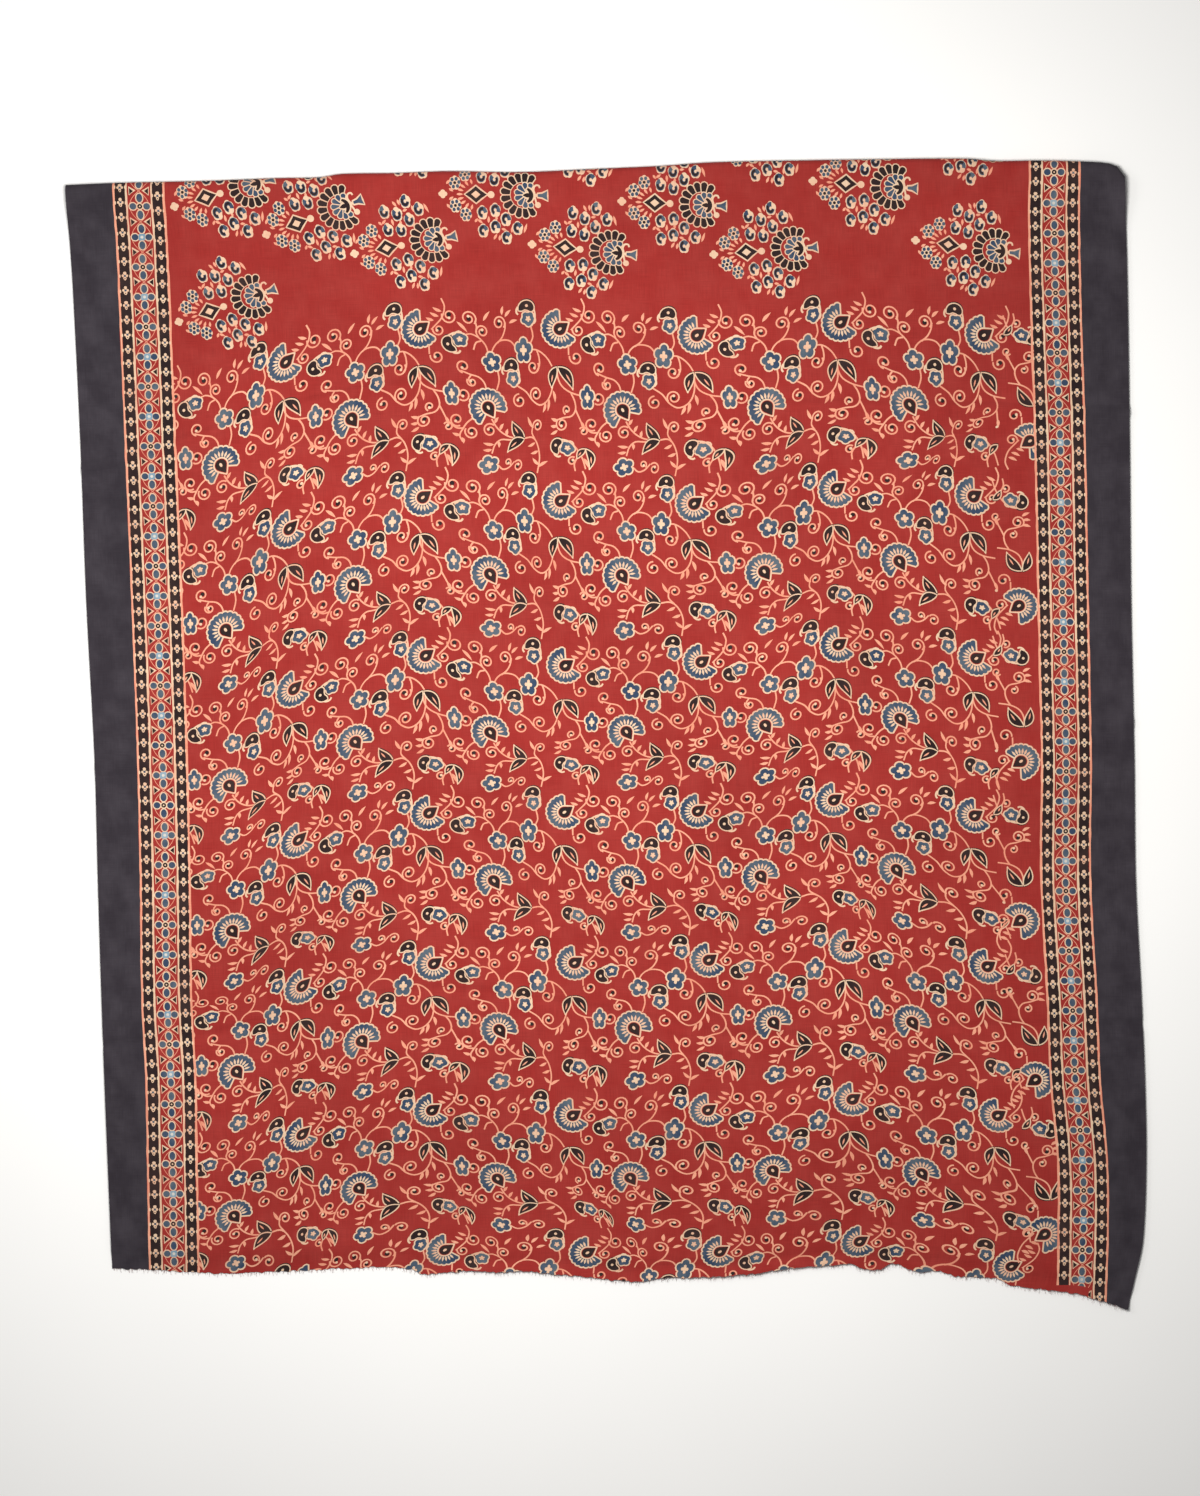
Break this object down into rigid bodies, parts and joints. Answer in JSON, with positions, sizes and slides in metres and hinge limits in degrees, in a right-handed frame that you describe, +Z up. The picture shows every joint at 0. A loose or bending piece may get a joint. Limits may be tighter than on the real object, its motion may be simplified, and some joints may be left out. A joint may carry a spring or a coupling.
{
  "type": "ajrakh cloth",
  "caption": "Loom-width length of block-printed red cotton cloth, folded over once and laid flat, with a soft roll at the top and a raw lower end.",
  "frame": {"origin": "middle of the cloth's outline, on the surface that it lies on", "axes": "+Z up, out of the printed face; +Y along the cloth, from the raw lower end to the folded top; +X to the right, across the loom width"},
  "size_m": [1.1663, 1.2424, 0.012],
  "materials": {
    "printed_cotton": "matte"
  },
  "bodies": {
    "root": {"cloth": "printed_cotton"}
  },
  "joints": []
}
